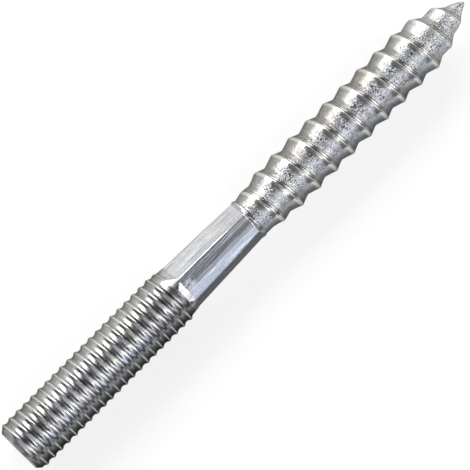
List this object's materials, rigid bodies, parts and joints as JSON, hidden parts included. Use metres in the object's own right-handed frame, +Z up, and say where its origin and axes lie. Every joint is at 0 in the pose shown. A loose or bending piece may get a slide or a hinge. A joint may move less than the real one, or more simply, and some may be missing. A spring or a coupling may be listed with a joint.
{
  "type": "hanger bolt",
  "caption": "Hanger bolt: a machine thread with a chamfered flat end, a pressed hexagonal shank, and a coarse wood thread with a gimlet point, in one piece.",
  "frame": {"origin": "centre of the bounding box, at its lowest point, where the lying bolt meets the surface", "axes": "+X along the bolt from the flat machine end to the gimlet point, +Z up, +Y to its left"},
  "size_m": [0.063, 0.006, 0.006],
  "materials": {
    "zinc_plated_steel": "bright zinc plate, glossy on the flats and crests, frosted in the roots of the wood thread"
  },
  "bodies": {
    "root": {"hanger_bolt": "zinc_plated_steel"}
  },
  "joints": []
}
